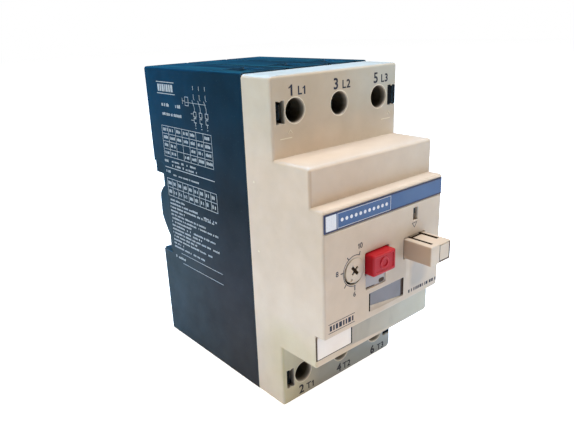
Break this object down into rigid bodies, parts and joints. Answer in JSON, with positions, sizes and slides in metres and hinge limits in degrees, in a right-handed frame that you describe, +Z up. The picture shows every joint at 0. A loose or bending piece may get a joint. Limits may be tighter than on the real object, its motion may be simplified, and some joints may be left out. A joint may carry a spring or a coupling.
{
  "type": "motor protection breaker",
  "caption": "Rail-mounted three-pole motor protection breaker with red stop button, protruding start button with padlock tongue, current dial and screw cage terminals.",
  "frame": {"origin": "centre of the flat pad in the rear channel that rests on the 35 mm rail, midway between the channel's edges", "axes": "+Y points from the front panel back to the rail, +Z is up (supply terminals at the top), +X is to the right seen from the front"},
  "size_m": [0.0614, 0.1162, 0.1218],
  "materials": {
    "base_plastic": "dark blue-black moulded plastic, satin",
    "cover_plastic": "warm beige moulded plastic, satin",
    "band_print": "blue printed strip with a dark border",
    "label_plastic": "blank white marking plate",
    "window_plastic": "grey-blue window insert",
    "stop_plastic": "red moulded plastic, semi-gloss",
    "button_plastic": "light beige moulded plastic, satin",
    "dial_plastic": "cream moulded plastic, satin",
    "black_plastic": "black glass-filled plastic",
    "zinc_steel": "zinc-plated steel",
    "spring_steel": "drawn spring wire",
    "cage_brass": "plain brass",
    "contact_copper": "tinned copper alloy",
    "coil_copper": "enamelled copper winding",
    "plain_steel": "rolled sheet steel",
    "chute_fibre": "fibre cheeks with steel splitter plates"
  },
  "bodies": {
    "housing": {"base_housing": "base_plastic", "front_cover": "cover_plastic", "front_band": "band_print", "label_plate": "label_plastic", "window_insert": "window_plastic", "rail_latch_spring": "spring_steel", "start_spring": "spring_steel", "stop_spring": "spring_steel", "mechanism_frame": "plain_steel", "latch_pin": "zinc_steel", "line_contact_1": "contact_copper", "load_contact_1": "contact_copper", "load_bar_1": "contact_copper", "bimetal_1": "plain_steel", "arc_chute_1": "chute_fibre", "trip_coil_1": "coil_copper", "line_contact_2": "contact_copper", "load_contact_2": "contact_copper", "load_bar_2": "contact_copper", "bimetal_2": "plain_steel", "arc_chute_2": "chute_fibre", "trip_coil_2": "coil_copper", "line_contact_3": "contact_copper", "load_contact_3": "contact_copper", "load_bar_3": "contact_copper", "bimetal_3": "plain_steel", "arc_chute_3": "chute_fibre", "trip_coil_3": "coil_copper"},
    "start_button": {"start_button": "button_plastic"},
    "padlock_tongue": {"padlock_tongue": "button_plastic"},
    "stop_button": {"stop_button": "stop_plastic"},
    "latch_lever": {"latch_lever": "plain_steel"},
    "rating_dial": {"rating_dial": "dial_plastic"},
    "test_slide": {"test_slide": "black_plastic"},
    "rail_latch": {"rail_latch": "black_plastic"},
    "trip_bar": {"trip_bar": "black_plastic"},
    "contact_carrier": {"contact_carrier": "black_plastic", "bridge_1": "contact_copper", "bridge_2": "contact_copper", "bridge_3": "contact_copper", "contact_spring_1": "spring_steel", "contact_spring_2": "spring_steel", "contact_spring_3": "spring_steel"},
    "line_screw_1": {"line_screw_1": "zinc_steel"},
    "line_cage_1": {"line_cage_1": "cage_brass"},
    "load_screw_1": {"load_screw_1": "zinc_steel"},
    "load_cage_1": {"load_cage_1": "cage_brass"},
    "plunger_1": {"plunger_1": "plain_steel"},
    "line_screw_2": {"line_screw_2": "zinc_steel"},
    "line_cage_2": {"line_cage_2": "cage_brass"},
    "load_screw_2": {"load_screw_2": "zinc_steel"},
    "load_cage_2": {"load_cage_2": "cage_brass"},
    "plunger_2": {"plunger_2": "plain_steel"},
    "line_screw_3": {"line_screw_3": "zinc_steel"},
    "line_cage_3": {"line_cage_3": "cage_brass"},
    "load_screw_3": {"load_screw_3": "zinc_steel"},
    "load_cage_3": {"load_cage_3": "cage_brass"},
    "plunger_3": {"plunger_3": "plain_steel"}
  },
  "joints": [
    {"name": "start_press", "type": "slide", "parent": "housing", "child": "start_button", "axis": [0, 1, 0], "range_m": [0, 0.008], "deforming": ["start_spring"]},
    {"name": "carrier_shift", "type": "slide", "parent": "housing", "child": "contact_carrier", "axis": [0, 1, 0], "range_m": [0, 0.004]},
    {"name": "tongue_pull", "type": "slide", "parent": "start_button", "child": "padlock_tongue", "axis": [0, -1, 0], "range_m": [0, 0.008]},
    {"name": "stop_press", "type": "slide", "parent": "housing", "child": "stop_button", "axis": [0, 1, 0], "range_m": [0, 0.003], "deforming": ["stop_spring"]},
    {"name": "latch_release", "type": "hinge", "parent": "housing", "child": "latch_lever", "pos_m": [-0.008, -0.0834, -0.014], "axis": [1, 0, 0], "range_deg": [-13, 0]},
    {"name": "dial_turn", "type": "hinge", "parent": "housing", "child": "rating_dial", "pos_m": [-0.0164, -0.097, -0.00085], "axis": [0, 1, 0], "range_deg": [-27, 178]},
    {"name": "test_push", "type": "slide", "parent": "housing", "child": "test_slide", "axis": [0, 0, -1], "range_m": [0, 0.002]},
    {"name": "rail_latch_pull", "type": "slide", "parent": "housing", "child": "rail_latch", "axis": [0, 0, -1], "range_m": [0, 0.004], "deforming": ["rail_latch_spring"]},
    {"name": "trip_bar_shift", "type": "slide", "parent": "housing", "child": "trip_bar", "axis": [1, 0, 0], "range_m": [0, 0.0013]},
    {"name": "line_screw_1_turn", "type": "hinge", "parent": "housing", "child": "line_screw_1", "pos_m": [-0.0205, -0.0679, 0.0502], "axis": [0, 1, 0], "range_deg": [0, 1440]},
    {"name": "line_cage_1_lift", "type": "slide", "parent": "housing", "child": "line_cage_1", "axis": [0, -1, 0], "range_m": [0, 0.0032]},
    {"name": "load_screw_1_turn", "type": "hinge", "parent": "housing", "child": "load_screw_1", "pos_m": [-0.0205, -0.0679, -0.0488], "axis": [0, 1, 0], "range_deg": [0, 1440]},
    {"name": "load_cage_1_lift", "type": "slide", "parent": "housing", "child": "load_cage_1", "axis": [0, -1, 0], "range_m": [0, 0.0032]},
    {"name": "plunger_1_strike", "type": "slide", "parent": "housing", "child": "plunger_1", "axis": [0, -1, 0], "range_m": [0, 0.0025]},
    {"name": "line_screw_2_turn", "type": "hinge", "parent": "housing", "child": "line_screw_2", "pos_m": [0, -0.0679, 0.0502], "axis": [0, 1, 0], "range_deg": [0, 1440]},
    {"name": "line_cage_2_lift", "type": "slide", "parent": "housing", "child": "line_cage_2", "axis": [0, -1, 0], "range_m": [0, 0.0032]},
    {"name": "load_screw_2_turn", "type": "hinge", "parent": "housing", "child": "load_screw_2", "pos_m": [0, -0.0679, -0.0488], "axis": [0, 1, 0], "range_deg": [0, 1440]},
    {"name": "load_cage_2_lift", "type": "slide", "parent": "housing", "child": "load_cage_2", "axis": [0, -1, 0], "range_m": [0, 0.0032]},
    {"name": "plunger_2_strike", "type": "slide", "parent": "housing", "child": "plunger_2", "axis": [0, -1, 0], "range_m": [0, 0.0025]},
    {"name": "line_screw_3_turn", "type": "hinge", "parent": "housing", "child": "line_screw_3", "pos_m": [0.0205, -0.0679, 0.0502], "axis": [0, 1, 0], "range_deg": [0, 1440]},
    {"name": "line_cage_3_lift", "type": "slide", "parent": "housing", "child": "line_cage_3", "axis": [0, -1, 0], "range_m": [0, 0.0032]},
    {"name": "load_screw_3_turn", "type": "hinge", "parent": "housing", "child": "load_screw_3", "pos_m": [0.0205, -0.0679, -0.0488], "axis": [0, 1, 0], "range_deg": [0, 1440]},
    {"name": "load_cage_3_lift", "type": "slide", "parent": "housing", "child": "load_cage_3", "axis": [0, -1, 0], "range_m": [0, 0.0032]},
    {"name": "plunger_3_strike", "type": "slide", "parent": "housing", "child": "plunger_3", "axis": [0, -1, 0], "range_m": [0, 0.0025]}
  ],
  "couplings": [
    {"joint": "carrier_shift", "follows": "start_press", "ratio": 0.5},
    {"joint": "latch_release", "follows": "stop_press", "rad_per_m": -75},
    {"joint": "line_screw_1_turn", "follows": "line_cage_1_lift", "rad_per_m": 7854},
    {"joint": "load_screw_1_turn", "follows": "load_cage_1_lift", "rad_per_m": 7854},
    {"joint": "line_screw_2_turn", "follows": "line_cage_2_lift", "rad_per_m": 7854},
    {"joint": "load_screw_2_turn", "follows": "load_cage_2_lift", "rad_per_m": 7854},
    {"joint": "line_screw_3_turn", "follows": "line_cage_3_lift", "rad_per_m": 7854},
    {"joint": "load_screw_3_turn", "follows": "load_cage_3_lift", "rad_per_m": 7854}
  ]
}
